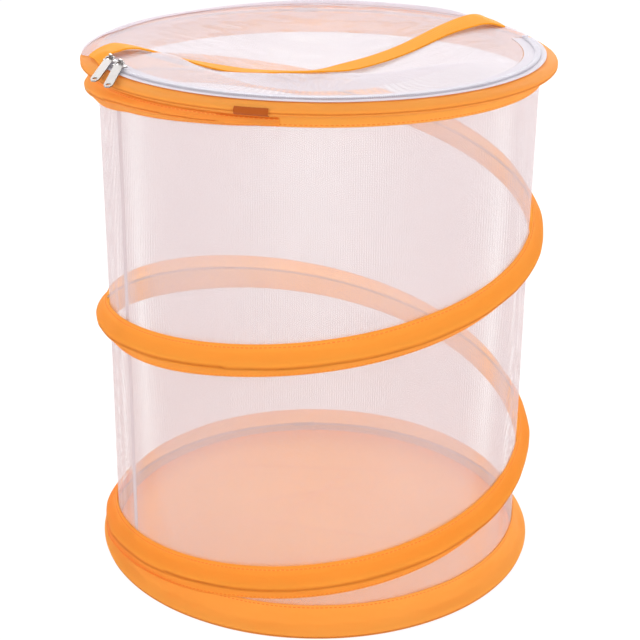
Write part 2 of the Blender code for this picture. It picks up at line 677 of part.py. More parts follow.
def make_lid(net):
    """The fixed rear of the lid reaches over the binding behind the zip; the flap is in front."""
    rear_line = HINGE_OFFSET + HINGE_GAP / 2
    front_line = HINGE_OFFSET - HINGE_GAP / 2
    lean = math.atan2(HINGE_DIR.y, HINGE_DIR.x)
    outer = WALL_RADIUS + LID_EDGE_LAP
    clear_a, clear_b = ZIP_END + REAR_JUMP, ZIP_START + 2 * math.pi - REAR_JUMP
    low = lean + math.asin(rear_line / NET_EDGE) + REAR_JUMP / 2
    high = lean + math.pi - math.asin(rear_line / NET_EDGE) - REAR_JUMP / 2
    count = STEPS // 2 - 1
    rear_angles = [low] + [clear_a + (clear_b - clear_a) * i / count for i in range(count + 1)]
    rear_angles += [(clear_b + high) / 2, high]
    slack = REAR_JUMP / 2
    rear = lid_part("lid_rear_net", rear_angles, rear_line, 1, 8, net,
                    lambda angle: outer if clear_a - slack < angle < clear_b + slack else None)
    start = lean + math.pi - math.asin(front_line / NET_EDGE) + REAR_JUMP / 2
    end = lean + 2 * math.pi + math.asin(front_line / NET_EDGE) - REAR_JUMP / 2
    flap_angles = [start + (end - start) * i / count for i in range(count + 1)]
    return rear, lid_part("lid_flap_net", flap_angles, front_line, -1, 6, net)


# Strap and label
def make_strap(webbing):
    a = polar(WALL_RADIUS + STRAP_REACH, STRAP_LEFT)
    b = polar(WALL_RADIUS + STRAP_REACH, STRAP_RIGHT)
    side = Vector((a.y - b.y, b.x - a.x, 0.0)).normalized() * STRAP_WIDTH / 2
    even = {i / STRAP_STATIONS for i in range(STRAP_STATIONS + 1)}
    shares = sorted({share for share, _ in STRAP_RISE_SHARES} | even)
    under = NET_THICKNESS + GAP + STRAP_THICKNESS
    rows = []
    for share in shares:
        spot = a.lerp(b, share)
        seat = max(lid_height(spot.x + side.x * k, spot.y + side.y * k) for k in (-1, 0, 1))
        top = seat + under + STRAP_LIFT * between(STRAP_RISE_SHARES, share)
        rows.append([Vector((spot.x + side.x, spot.y + side.y, top)),
                     Vector((spot.x - side.x, spot.y - side.y, top))])
    return grid_sheet("carry_strap", rows, STRAP_THICKNESS, webbing)


def make_label(brown):
    outline = []
    for (r_a, z_a), (r_b, z_b) in zip(TOP_FOLD[3:6], TOP_FOLD[4:7]):
        for share in (0, 0.5):
            outline.append((r_a + (r_b - r_a) * share, z_a + (z_b - z_a) * share))
    grown = []
    for i, (r, z) in enumerate(outline):
        before, after = outline[max(i - 1, 0)], outline[min(i + 1, len(outline) - 1)]
        run = Vector((after[0] - before[0], after[1] - before[1])).normalized()
        reach = GAP + LABEL_THICKNESS
        grown.append((r - run.y * reach, z + run.x * reach))
    return turned_sheet("side_label", grown, LABEL_THICKNESS, brown, LABEL_ANGLE, LABEL_SPAN)


def main():
    orange = material("orange_tape", ORANGE, 0.62)
    net = material("white_net", WHITE, 0.8, alpha=0.35)
    lid_net = material("lid_net", WHITE, 0.8, alpha=0.5)
    floor = material("orange_floor", FLOOR_ORANGE, 0.7)
    white = material("white_tape", WHITE, 0.7)
    teeth = material("white_nylon", WHITE, 0.35)
    steel = material("spring_steel", STEEL, 0.35, 1.0)
    rubber = material("white_rubber", WHITE, 0.6)
    nickel = material("nickel", (0.72, 0.72, 0.74), 0.22, 1.0)
    webbing = material("orange_webbing", ORANGE, 0.7)
    brown = material("brown_label", BROWN, 0.7)

    make_body(net, floor, white)
    make_bindings(orange)
    make_hoop("base", BASE_HOOP_HEIGHT, steel)
    make_hoop("top", TOP_HOOP_Z, steel)
    make_coil(steel, rubber)
    make_casing(orange)
    zip_pieces = make_zip(white, teeth)
    rear, flap = make_lid(lid_net)
    strap = make_strap(webbing)
    label = make_label(brown)

    top = empty("top_ring_axis", Matrix.Identity(4))
    upper = [bpy.data.objects[name] for name in
             ("top_binding", "top_hoop_wire", "top_hoop_ferrule")]
    carry(top, rear, label, *upper, *zip_pieces["rim"])
    lid_axis = empty("lid_flap_axis", along(HINGE_DIR, HINGE_MID))
    carry(lid_axis, flap, *zip_pieces["flap"])
    strap_axis = empty("carry_strap_axis", Matrix.Translation((0.0, 0.0, ZIP_TOP)))
    carry(strap_axis, strap)
    carry(top, lid_axis, strap_axis)
    for side, angle, splay in (("left", LEFT_SLIDER_ANGLE, LEFT_TAB_SPLAY),
                               ("right", RIGHT_SLIDER_ANGLE, RIGHT_TAB_SPLAY)):
        slider, tab, pivot = make_slider(side, angle, splay, nickel)
        track = empty("slider_axis_" + side, Matrix.Translation((0.0, 0.0, ZIP_TOP)))
        pin = empty("tab_axis_" + side, Matrix.Translation(pivot))
        carry(pin, tab)
        carry(track, slider, pin)
        carry(top, track)
    print("lid hinge", [round(c, 5) for c in HINGE_MID], [round(c, 5) for c in HINGE_DIR])


main()
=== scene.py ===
"""Visual model of the pop-up insect cage, dressed over its CAD frame."""

import math

import bpy
import numpy as np
from mathutils import Matrix, Vector


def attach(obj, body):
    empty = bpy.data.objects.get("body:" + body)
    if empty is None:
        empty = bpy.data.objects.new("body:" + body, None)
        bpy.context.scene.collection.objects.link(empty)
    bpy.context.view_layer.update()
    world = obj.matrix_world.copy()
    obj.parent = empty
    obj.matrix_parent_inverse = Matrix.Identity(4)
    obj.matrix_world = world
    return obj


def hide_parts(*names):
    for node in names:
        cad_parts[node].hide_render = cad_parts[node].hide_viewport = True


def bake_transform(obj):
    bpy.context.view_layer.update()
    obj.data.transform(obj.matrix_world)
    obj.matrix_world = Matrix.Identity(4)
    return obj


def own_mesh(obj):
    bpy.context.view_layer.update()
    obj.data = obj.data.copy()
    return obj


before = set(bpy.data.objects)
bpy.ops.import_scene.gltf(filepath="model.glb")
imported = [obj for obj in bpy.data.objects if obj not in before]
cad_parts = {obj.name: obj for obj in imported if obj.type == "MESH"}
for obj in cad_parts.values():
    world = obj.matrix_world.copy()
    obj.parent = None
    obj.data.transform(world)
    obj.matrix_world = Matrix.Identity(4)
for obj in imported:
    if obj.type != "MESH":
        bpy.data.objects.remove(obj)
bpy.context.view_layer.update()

# Sizes shared with the solids, in metres
HEIGHT = 0.3556               # of the top of the upper hoop's tape
WALL_RADIUS = 0.1455
WALL_TOP, WALL_BASE = 0.3540, 0.0011
BINDING_RADIUS = 0.1565       # out to the ridge of a bound edge
FLOOR_RADIUS = 0.1459
FLOOR_THICKNESS = 0.0008

# Cloth
TAPE = 0.0006                 # thickness of the orange tape
NET = 0.0003                  # thickness of the net cloth
GAP = 0.0003                  # between cloths that lie on each other
AROUND = 288                  # columns of a cloth's grid in one round

# Outlines of the two bound edges, as (radius, height) from the top down
TOP_OUTLINE = ((0.1464, 0.3556), (0.1494, 0.3552), (0.1540, 0.3532), (0.1560, 0.3519),
               (0.1565, 0.3506), (0.1554, 0.3492), (0.1514, 0.34845), (0.1479, 0.3464),
               (0.1464, 0.3407))
BASE_OUTLINE = ((0.1464, 0.0198), (0.1478, 0.0134), (0.1507, 0.0082), (0.1543, 0.0051),
                (0.1562, 0.0033), (0.1565, 0.0019), (0.1555, 0.0), (0.1462, 0.0))
SHOULDER = np.array(TOP_OUTLINE[:4])
# Soft puckers of the tape, as (seed, length, stretch, height)
BINDING_PUCKERS = ((11, 0.045, 0.35, 0.0004), (12, 0.016, 0.5, 0.00018))
COIL_PUCKERS = ((21, 0.05, 0.3, 0.0004), (22, 0.018, 0.5, 0.00015))
PUCKER_STEP = 0.001           # from one row of the tape to the next, as the puckers count it
GROOVE_DEPTH = 0.0007         # of the groove along the ridge of a folded tape
GROOVE_ROWS = 0.75            # its half width, in rows
# Painted shade in the groove along a ridge and along the base tape's foot
GROOVE_SHADE = 0.9
STITCHED_SHADE = 0.25         # painted shade of the tape along its stitched edges

# The coil's wire drops evenly, leans to the rear left and starts high under the upper binding
COIL_DEPTH = 0.0326           # of the wire under the upper hoop's top, where the turns start
COIL_MIN_DEPTH = 0.0142
COIL_PITCH = 0.157
COIL_LEAN, COIL_LEAN_AT = 0.011, math.radians(60)
COIL_START_RISE = 0.0035
COIL_RADIUS = 0.1520
# Its tape
COIL_START, COIL_END = -81.25, 735.0      # in degrees of turn
COIL_LEAD = 61.0              # degrees of turn until the tape has its full size
COIL_RIDGE = 0.1545
COIL_TUCK = 0.0064            # how much further in the ridge is where the tape starts
# Points of its two leaves, as shares of the way out to the ridge and of the way to the foot
LEAF_UP = ((0, 1), (0.3, 0.58), (0.73, 0.3), (0.95, 0.15))
LEAF_DOWN = ((0.95, 0.2), (0.55, 0.45), (0, 1))
LEAF_ABOVE = 0.0125           # height of the upper leaf over the wire
LEAF_CEILING, LEAF_FLOOR = 0.3461, 0.0060
LEAF_BELOW = (0.0003, 0.0012, 0.0075)     # lower leaf: at its start, once begun, and in full
LEAF_BEGINS = 12              # degrees of turn until the lower leaf has begun
LEAF_LATE = (0.0030, 5.6, 1.5)            # depth further on, where that starts and its reach
LEAF_SAGS = ((0.0035, 7.1, 0.75), (0.0026, 5.6, 0.45))       # depth, turn and width

# Wall
BOUND_EDGE = 0.02             # height over which the net comes free of its bound edges
WALL_INSET = 0.0001
WALL_SLACK = 0.0011
SEAM_ANGLE = math.radians(-150)
SEAM_HALF = 0.0024
SEAM_INSET, SEAM_FOLD = 0.0018, 0.0002
SEAM_DRIFT = 0.0012
SEAM_THICKNESS = 0.0004

# Floor
FLOOR_WAVE, FLOOR_DOME = 0.0007, 0.0006
FLOOR_CREASES = ((0.10, -0.062, 0.09), (-0.22, -0.020, 0.07), (0.35, 0.035, 0.06),
                 (-0.05, 0.075, 0.08), (1.4, 0.030, 0.05))   # slope, place and reach
CREASE_HEIGHT, CREASE_WIDTH = 0.0006, 0.0035
# Painted shade beside each floor crease: its strength and width
CREASE_SHADE, CREASE_SHADE_WIDTH = 0.35, 0.0022

# Lid and zip
ZIP_RADIUS = 0.1426
ZIP_Z = 0.3559
ZIP_TAPE = 0.0005             # thickness
ZIP_START, ZIP_END = math.radians(-163.0), math.radians(13.0)
SLIT_IN, SLIT_OUT = 0.1417, 0.1435
FLAP_TAPE_IN = 0.1337
RIM_TAPE_OUT = 0.1483
TOOTH_PITCH = 0.0013
TOOTH_SIZE = (0.0028, 0.0005, 0.0011)     # length, width and height
TOOTH_OUT, TOOTH_LIFT = 0.0008, 0.0007    # middle of a tooth from the slit's and above the tape
ZIP_MARGIN = 0.0040           # from the zip's ends to the first teeth
NET_EDGE = 0.1331             # edge of the lid's net inside the zip
LID_REACH = 0.1481            # its edge at the rear, before it goes over the binding
LID_OVER = 0.0075             # how far it goes over the binding
LID_SAG = 0.0260
LID_SAG_LEAN = 0.3
LID_RIDGE = 0.0085            # height of the soft fold along the front
LID_LIFT = 0.0027             # how far the net stands off the binding at the rear
LID_LIFT_RADIUS, LID_LIFT_WIDTH = 0.1490, 0.0060
LID_FOLDS = ((51, 0.09, 0.5, 0.0011), (52, 0.03, 0.6, 0.0004))
LID_PUFF, LID_PUFF_AT, LID_PUFF_REACH = 0.006, (-0.104, -0.042), 0.026
HEM_WIDTH = 0.0118
HEM_FROM_ZIP = 0.24           # radians from the zip's ends to the hem's

# Strap and label
STRAP_HALF = 0.0100
STRAP_THICKNESS = 0.0011
STRAP_ENDS = ((0.148, math.radians(-167.0)), (0.148, math.radians(31.4)))    # radius and angle
# Corners of the strap's left end, sewn slantwise on the binding
STRAP_END_FRONT = (-0.1348, -0.0620, 0.3565)
STRAP_END_REAR = (-0.1462, -0.0372, 0.3568)
STRAP_SEWN = 0.06             # share of the strap's length that turns towards those corners
# Height of the strap's middle line, and of its front edge above its rear edge, by share of length
STRAP_PATH = ((0, 0.3566), (0.02, 0.3592), (0.045, 0.3612), (0.08, 0.3613), (0.12, 0.3580),
              (0.16, 0.3538), (0.2, 0.3499), (0.24, 0.3462), (0.28, 0.3430), (0.32, 0.3402),
              (0.36, 0.3383), (0.4, 0.3370), (0.44, 0.3360), (0.48, 0.3350), (0.52, 0.3343),
              (0.56, 0.3343), (0.6, 0.3353), (0.64, 0.3370), (0.68, 0.3392), (0.72, 0.3420),
              (0.76, 0.3455), (0.8, 0.3498), (0.84, 0.3545), (0.88, 0.3580), (0.92, 0.3608),
              (0.955, 0.3622), (0.98, 0.3600), (1, 0.3568))
STRAP_TILT = ((0, -0.0030), (0.04, -0.0020), (0.08, 0.0020), (0.12, 0.0024), (0.2, 0.0024),
              (0.26, 0.0004), (0.32, 0.0), (0.36, 0.0015), (0.44, 0.0034), (0.52, 0.0042),
              (0.56, 0.0028), (0.6, 0.0003), (0.76, 0.0), (0.84, -0.0006), (0.92, -0.0026),
              (0.96, -0.0028), (1, -0.0008))
STRAP_CROWN = 0.0003
STRAP_MARGIN = 0.0028         # of net held down beside the strap
NET_SLOPE = 1.2               # of the net from there up
NET_FREE = 0.05               # how much higher it may stand past the strap's ends
STOP_BULGE, STOP_REACH = 0.0026, 0.0065   # where the strap lies over the zip's left end stop
TAIL_RADIUS = 0.1424
TAIL_ANGLES = (30.5, 38.5)    # degrees
TAIL_HEIGHTS = (0.3545, 0.3485)
LABEL_ANGLES = (-108.0, -100.5)           # degrees
LABEL_ROWS = slice(38, 72)    # of the binding's outline in 120 steps
LABEL_THICKNESS = 0.0003
LABEL_OFF = 0.0007            # distance of its face from the tape's

# Camera and light
CAMERA_PLACE = (0.0, -0.9678, 0.5627)
CAMERA_DOWN, CAMERA_ROLL = 22.53, 0.5     # degrees
CAMERA_LENS, CAMERA_SHIFT = 83.2, 0.005
LAMPS = (("key", (-1.3, -0.8, 0.9), 1.2, 10.0), ("fill", (1.35, -0.8, 0.4), 1.2, 11.0),
         ("back", (0.1, 1.5, 0.75), 1.6, 34.0))              # name, place, size and watts
LAMP_TARGET = (0.0, 0.0, 0.18)
SKY_LIGHT, SKY_SEEN = 0.87, 1.0
STAGE_LIGHT, STAGE_SEEN, STAGE_GLOW = 232, 98, 0.92          # two greys and a glow

UP = np.array((0.0, 0.0, 1.0))


# Small tools
def polar(radius, angle, z=0.0):
    """Points at a radius, angle and height, for numbers or arrays alike."""
    radius, angle, z = np.broadcast_arrays(np.asarray(radius, float), angle, z)
    return np.stack((radius * np.cos(angle), radius * np.sin(angle), z), -1)


def round_angles():
    return np.linspace(-math.pi, math.pi, AROUND, endpoint=False)


def ease(value):
    value = np.clip(value, 0.0, 1.0)
    return value * value * (3 - 2 * value)


def hump(value, centre, width):
    """A smooth hump of height 1 round a centre."""
    return np.exp(-((value - centre) / width) ** 2)


def ripple(u, v, seed, length, stretch=1.0, waves=9):
    """Soft random waves of about that length and height 1, longer along v by the stretch."""
    chance = np.random.default_rng(seed)
    total = np.zeros(np.broadcast(u, v).shape)
    for _ in range(waves):
        lean = chance.uniform(0, math.pi)
        size = length * chance.uniform(0.7, 1.6)
        phase = chance.uniform(0, 2 * math.pi)
        total += np.sin(2 * math.pi * (u * math.cos(lean) + v * math.sin(lean) / stretch) / size
                        + phase)
    return total / math.sqrt(waves) / 1.5


def puckers(u, v, waves):
    """The sum of ripples that each have a seed, length, stretch and height."""
    return sum(ripple(u, v, seed, length, stretch) * height
               for seed, length, stretch, height in waves)


def resample(line, count, rounding=0):
    """A line of points spaced evenly along its length, with its corners rounded off."""
    line = np.asarray(line, float)
    run = running_length(line)
    even = np.linspace(0.0, run[-1], count)
    line = np.stack([np.interp(even, run, line[:, k]) for k in range(line.shape[1])], -1)
    for _ in range(rounding):
        line[1:-1] = (line[:-2] + 2 * line[1:-1] + line[2:]) / 4
    return line


def running_length(line):
    return np.concatenate(([0.0], np.cumsum(np.linalg.norm(np.diff(line, axis=0), axis=1))))


def grid_normals(grid, wrap):
    along = np.gradient(grid, axis=0)
    if wrap:
        across = np.roll(grid, -1, 1) - np.roll(grid, 1, 1)
    else:
        across = np.gradient(grid, axis=1)
    normal = np.cross(along, across)
    return normal / np.maximum(np.linalg.norm(normal, axis=2, keepdims=True), 1e-12)


def grid_lengths(grid, wrap):
    """Mean running lengths down the rows and across the columns of a grid."""
    down = np.linalg.norm(np.diff(grid, axis=0), axis=2).mean(1)
    closed = np.concatenate((grid, grid[:, :1]), 1) if wrap else grid
    over = np.linalg.norm(np.diff(closed, axis=1), axis=2).mean(0)
    return (np.concatenate(([0.0], np.cumsum(down))), np.concatenate(([0.0], np.cumsum(over))))


def add_object(name, content):
    made = bpy.data.objects.new(name, content)
    bpy.context.scene.collection.objects.link(made)
    return made


# Corners of a grid's cell, as steps down and across
CORNERS = {"a": (0, 0), "b": (0, 1), "c": (1, 1), "d": (1, 0)}


def shell_faces(rows, cols, wrap):
    """Quads of a cloth's outer side, inner side and edges.

    Gives each quad's four grid rows and columns, and which of them are on the inner side."""
    count = cols if wrap else cols - 1
    i, j = np.meshgrid(np.arange(rows - 1), np.arange(count), indexing="ij")
    i, j = i.ravel(), j.ravel()
    every = np.ones(len(i), bool)
    patches = [("adcb", every), ("ABCD", every), ("abBA", i == 0), ("cdDC", i == rows - 2)]
    if not wrap:
        patches += [("daAD", j == 0), ("bcCB", j == cols - 2)]
    row, col, inner = [], [], []
    for keys, picked in patches:
        row.append(np.stack([i[picked] + CORNERS[key.lower()][0] for key in keys], 1))
        col.append(np.stack([j[picked] + CORNERS[key.lower()][1] for key in keys], 1))
        inner.append(np.broadcast_to([key.isupper() for key in keys], row[-1].shape))
    return np.concatenate(row), np.concatenate(col), np.concatenate(inner)


def shell(name, grid, thickness, finishes, wrap=False, painted_shade=None, cut=None, lead=None):
    """A closed cloth with the grid as its outer face and UVs in metres along the cloth.

    The finishes are those of the whole cloth, or of its outer side and edges, its inner side,
    and its outer side from the lead column on. The UVs run along the rows and columns, or are
    the cut's own where it is given."""
    rows, cols = grid.shape[:2]
    points = np.stack((grid, grid - grid_normals(grid, wrap) * thickness)).reshape(-1, 3)
    row, col, inner = shell_faces(rows, cols, wrap)
    spot = row * cols + col % cols
    if cut is None:
        down, over = grid_lengths(grid, wrap)
        loops = np.stack((over[col], down[row]), -1)
    else:
        loops = cut.reshape(-1, 2)[spot]
    numbers = np.where(inner.all(1), len(finishes) > 1, 0)
    if lead is not None:
        numbers[~inner.any(1) & (col[:, 0] >= lead)] = 2
    if painted_shade is None:
        painted_shade = np.zeros((rows, cols))

    mesh = bpy.data.meshes.new(name)
    mesh.from_pydata(points.tolist(), [], (spot + inner * rows * cols).tolist())
    uvs = mesh.uv_layers.new(name="UVMap")
    uvs.data.foreach_set("uv", np.asarray(loops, np.float32).ravel())
    # Painted shade per point, by which the woven finishes darken the cloth
    depth = mesh.attributes.new("painted_shade", 'FLOAT', 'POINT')
    depth.data.foreach_set("value", np.tile(painted_shade.ravel(), 2).astype(np.float32))
    mesh.shade_smooth()
    mesh.set_sharp_from_angle(angle=math.radians(50))
    for finish in finishes:
        mesh.materials.append(finish)
    mesh.polygons.foreach_set("material_index", np.asarray(numbers, np.int32))
    return add_object(name, mesh)


# A stud's four cross-sections: place along it, half width and top; and its corners by face
STUD_PROFILE = ((-1.0, 0.55, -0.6), (-0.6, 1.0, 1.0), (0.6, 1.0, 1.0), (1.0, 0.55, -0.6))
STUD_FOOT = 0.8               # half width of its foot
STUD_FACES = ((0, 2, 3, 1), (2, 4, 5, 3), (4, 6, 7, 5), (8, 0, 1, 9), (6, 10, 11, 7),
              (8, 9, 11, 10), (0, 8, 10, 6, 4, 2), (1, 3, 5, 7, 11, 9))


def studs(name, centres, ahead, outward, size, finish):
    """Many small rounded bars: stitches or zip teeth, each with its length, width and height."""
    ahead = ahead / np.linalg.norm(ahead, axis=-1, keepdims=True)
    outward = outward - (outward * ahead).sum(-1, keepdims=True) * ahead
    outward = outward / np.linalg.norm(outward, axis=-1, keepdims=True)
    side = np.cross(ahead, outward)
    length, width, height = (value / 2 for value in size)
    shape = [(x, y * wide, top) for x, wide, top in STUD_PROFILE for y in (-1.0, 1.0)]
    shape += [(x, y * STUD_FOOT, -1.0) for x in (-1.0, 1.0) for y in (-1.0, 1.0)]
    points = np.concatenate([centres + ahead * x * length + side * y * width
                             + outward * z * height for x, y, z in shape])
    count = len(centres)
    faces = [tuple(k * count + n for k in face) for n in range(count) for face in STUD_FACES]
    mesh = bpy.data.meshes.new(name)
    mesh.from_pydata(points.tolist(), [], faces)
    mesh.materials.append(finish)
    return add_object(name, mesh)


STITCH_PITCH = 0.0030
STITCH_SIZE = (0.0022, 0.0005, 0.0003)    # length, width and height


def stitches(name, line, outward, closed=False):
    """A row of stitches along a line of points, lying on the cloth."""
    if closed:
        line = np.concatenate((line, line[:1]))
        outward = np.concatenate((outward, outward[:1]))
    run = running_length(line)
    spots = np.arange(STITCH_PITCH / 2, run[-1] - STITCH_PITCH / 4, STITCH_PITCH)

    def at(values, place):
        return np.stack([np.interp(place, run, values[:, k]) for k in range(3)], -1)

    after = at(line, np.minimum(spots + STITCH_PITCH / 3, run[-1]))
    ahead = after - at(line, spots - STITCH_PITCH / 3)
    return studs(name, at(line, spots), ahead, at(outward, spots), STITCH_SIZE, THREAD)


# Materials
CLOTH_GLOSS = 0.15            # how strongly plain cloth mirrors the light
CLOTH_SHEEN, TAPE_SHEEN = 0.08, 0.03
WEAVE_BUMP, RIB_BUMP = 0.35, 0.5
HOLE_EDGE = 0.06              # softness of a hole's rim, as a share of the pitch


def srgb(*levels):
    """A colour written from 0 to 255, as linear light."""
    parts = [level / 255 for level in levels]
    return [p / 12.92 if p <= 0.04045 else ((p + 0.055) / 1.055) ** 2.4 for p in parts] + [1.0]


def new_material(name):
    made = bpy.data.materials.new(name)
    made.use_nodes = True
    return made, made.node_tree, made.node_tree.nodes["Principled BSDF"]


def node(tree, kind, settings=(), inputs=()):
    made = tree.nodes.new("ShaderNode" + kind)
    for key, value in dict(settings).items():
        setattr(made, key, value)
    for key, value in dict(inputs).items():
        if isinstance(value, bpy.types.NodeSocket):
            tree.links.new(value, made.inputs[key])
        else:
            made.inputs[key].default_value = value
    return made


def maths(tree, operation, *terms):
    return node(tree, "Math", {"operation": operation}, enumerate(terms)).outputs[0]


def vectors(tree, operation, *terms):
    return node(tree, "VectorMath", {"operation": operation}, enumerate(terms)).outputs[0]


def mottled(tree, where, low, high, size):
    """Two close colours in soft patches of that size."""
    cloud = node(tree, "TexNoise", (), {"Vector": where, "Scale": 1 / size, "Detail": 3.0})
    blend = node(tree, "Mix", {"data_type": 'RGBA'},
                 {0: cloud.outputs["Fac"], 6: srgb(*low), 7: srgb(*high)})
    return blend.outputs[2]


def weave_height(tree, where, thread):
    """Height of a plain weave: over and under in both directions."""
    tall = vectors(tree, "MULTIPLY", where, (math.pi / thread, math.pi / thread, 0.0))
    wave = node(tree, "SeparateXYZ", (), {0: vectors(tree, "SINE", tall)})
    return maths(tree, "MULTIPLY", wave.outputs[0], wave.outputs[1])


def let_through(tree, shader, colour, share):
    """Lets that share of the light pass through the cloth; returns the mixed shader."""
    through = node(tree, "BsdfTranslucent", (), {"Color": colour})
    mixed = node(tree, "MixShader", (), {0: share, 1: shader.outputs[0], 2: through.outputs[0]})
    tree.links.new(mixed.outputs[0], tree.nodes["Material Output"].inputs["Surface"])
    return mixed


def seen_straight(tree):
    """1 where a ray comes from the camera, a gloss or a clear layer, and 0 for soft light."""
    path = node(tree, "LightPath")
    seen = maths(tree, "MAXIMUM", path.outputs["Is Camera Ray"], path.outputs["Is Glossy Ray"])
    return maths(tree, "MAXIMUM", seen, path.outputs["Is Transmission Ray"])


def woven(name, low, high, thread, painted_shade, roughness, patch=0.035, through=0.0, glow=None):
    """Woven cloth darkened towards its painted shade colour where the mesh carries painted shade;
    it lets a share of the light through.
    """
    made, tree, shader = new_material(name)
    where = node(tree, "TexCoord").outputs["UV"]
    colour = mottled(tree, where, low, high, patch)
    # Painted shade from the mesh darkens the cloth towards the shade colour
    depth = node(tree, "Attribute", {"attribute_name": "painted_shade"}).outputs["Fac"]
    dark = node(tree, "Mix", {"data_type": 'RGBA'}, {0: depth, 6: colour, 7: srgb(*painted_shade)})
    height = weave_height(tree, where, thread)
    lift = node(tree, "Bump", (), {"Strength": WEAVE_BUMP, "Distance": thread / 4,
                                   "Height": height})
    tree.links.new(dark.outputs[2], shader.inputs["Base Color"])
    tree.links.new(lift.outputs[0], shader.inputs["Normal"])
    shader.inputs["Roughness"].default_value = roughness
    shader.inputs["Specular IOR Level"].default_value = CLOTH_GLOSS
    shader.inputs["Sheen Weight"].default_value = CLOTH_SHEEN
    shader.inputs["Sheen Roughness"].default_value = 0.5
    if through:
        let_through(tree, shader, srgb(*glow), through)
    return made


def netting(name, low, high, pitch, hole, through):
    """Knitted net: staggered holes between the wales, open where the cloth is open."""
    made, tree, shader = new_material(name)
    where = node(tree, "TexCoord").outputs["UV"]
    cells = vectors(tree, "MULTIPLY", where, (1 / pitch, 1 / pitch, 0.0))
    parts = node(tree, "SeparateXYZ", (), {0: cells})
    odd = maths(tree, "MODULO", maths(tree, "FLOOR", parts.outputs[0]), 2.0)
    row = maths(tree, "MULTIPLY_ADD", odd, 0.5, parts.outputs[1])
    place = node(tree, "CombineXYZ", (), {0: parts.outputs[0], 1: row}).outputs[0]
    inside = vectors(tree, "SUBTRACT", vectors(tree, "FRACTION", place), (0.5, 0.5, 0.0))
    reach = node(tree, "VectorMath", {"operation": "LENGTH"}, {0: inside}).outputs["Value"]
    thread = node(tree, "MapRange", (), {"Value": reach, "From Min": hole - HOLE_EDGE,
                                         "From Max": hole + HOLE_EDGE}).outputs[0]
    colour = mottled(tree, where, low, high, 0.05)
    tree.links.new(colour, shader.inputs["Base Color"])
    shader.inputs["Roughness"].default_value = 0.8
    shader.inputs["Specular IOR Level"].default_value = 0.0
    cloth = let_through(tree, shader, colour, through)
    clear = node(tree, "BsdfTransparent")
    net = node(tree, "MixShader", (), {0: thread, 1: clear.outputs[0], 2: cloth.outputs[0]})
    tree.links.new(net.outputs[0], tree.nodes["Material Output"].inputs["Surface"])
    return made


def ribbed(name, low, high, rib, roughness):
    """Zip tape or webbing with fine ribs along its length."""
    made, tree, shader = new_material(name)
    where = node(tree, "TexCoord").outputs["UV"]
    colour = mottled(tree, where, low, high, 0.02)
    across = node(tree, "SeparateXYZ", (), {0: where}).outputs[1]
    wave = maths(tree, "SINE", maths(tree, "MULTIPLY", across, 2 * math.pi / rib))
    weave = maths(tree, "ADD", wave, weave_height(tree, where, rib / 2))
    lift = node(tree, "Bump", (), {"Strength": RIB_BUMP, "Distance": rib / 5, "Height": weave})
    tree.links.new(colour, shader.inputs["Base Color"])
    tree.links.new(lift.outputs[0], shader.inputs["Normal"])
    shader.inputs["Roughness"].default_value = roughness
    shader.inputs["Specular IOR Level"].default_value = CLOTH_GLOSS
    shader.inputs["Sheen Weight"].default_value = TAPE_SHEEN
    return made


def plain(name, low, high, size, roughness, metallic=0.0):
    """Moulded or metal pieces: soft patches of colour and of gloss."""
    made, tree, shader = new_material(name)
    where = node(tree, "TexCoord").outputs["Object"]
    colour = mottled(tree, where, low, high, size)
    cloud = node(tree, "TexNoise", (), {"Vector": where, "Scale": 1 / size, "Detail": 4.0})
    gloss = node(tree, "MapRange", (), {"Value": cloud.outputs["Fac"], "To Min": roughness * 0.8,
                                        "To Max": roughness * 1.25}).outputs[0]
    tree.links.new(colour, shader.inputs["Base Color"])
    tree.links.new(gloss, shader.inputs["Roughness"])
    shader.inputs["Metallic"].default_value = metallic
    return made


# The colour after a woven finish's thread size is that of its painted shade
TAPE_CLOTH = woven("tape_cloth", (254, 169, 66), (255, 180, 78), 0.0006, (160, 72, 20), 0.6,
                   through=0.66, glow=(255, 212, 134))
EDGE_CLOTH = woven("edge_cloth", (255, 174, 76), (255, 185, 88), 0.0006, (160, 72, 20), 0.6,
                   through=0.5, glow=(255, 212, 134))
# The tapes' inner side: its translucency lets real light through, and its paler copy of the
# tape's orange is painted light that makes the rear bands look lit from behind
TAPE_INNER_PAINTED_LIGHT = woven("tape_inner_painted_light", (254, 206, 124), (255, 214, 136), 0.0006, (240, 150, 80), 0.7,
                    through=0.9, glow=(255, 222, 150))
FLOOR_CLOTH = woven("floor_cloth", (255, 172, 82), (255, 182, 92), 0.0007, (238, 142, 76), 0.7,
                    patch=0.06)
THREAD = plain("orange_thread", (236, 126, 40), (248, 146, 58), 0.01, 0.6)
WEBBING = ribbed("webbing", (238, 152, 32), (244, 162, 42), 0.0016, 0.8)
ZIP_CLOTH = ribbed("zip_cloth", (206, 200, 209), (214, 208, 216), 0.0012, 0.7)
SEAM_CLOTH = woven("seam_cloth", (222, 210, 212), (228, 216, 218), 0.0005, (170, 150, 138), 0.7)
WALL_NET = netting("wall_netting", (215, 201, 204), (222, 208, 211), 0.00048, 0.47, 0.04)
LID_NET = netting("lid_netting", (232, 229, 237), (240, 237, 243), 0.00033, 0.43, 0.2)
HEM_NET = netting("hem_netting", (236, 231, 238), (243, 239, 245), 0.00033, 0.28, 0.45)
LABEL_CLOTH = woven("label_cloth", (166, 76, 12), (176, 86, 20), 0.0005, (120, 62, 20), 0.7)
NYLON = plain("nylon", (204, 201, 210), (216, 213, 221), 0.006, 0.5)
RUBBER = plain("rubber", (222, 222, 222), (232, 232, 232), 0.01, 0.55)
STEEL = plain("wire_steel", (176, 178, 182), (198, 200, 204), 0.02, 0.3, metallic=1.0)
NICKEL = plain("nickel", (140, 137, 135), (168, 164, 162), 0.004, 0.36, metallic=1.0)


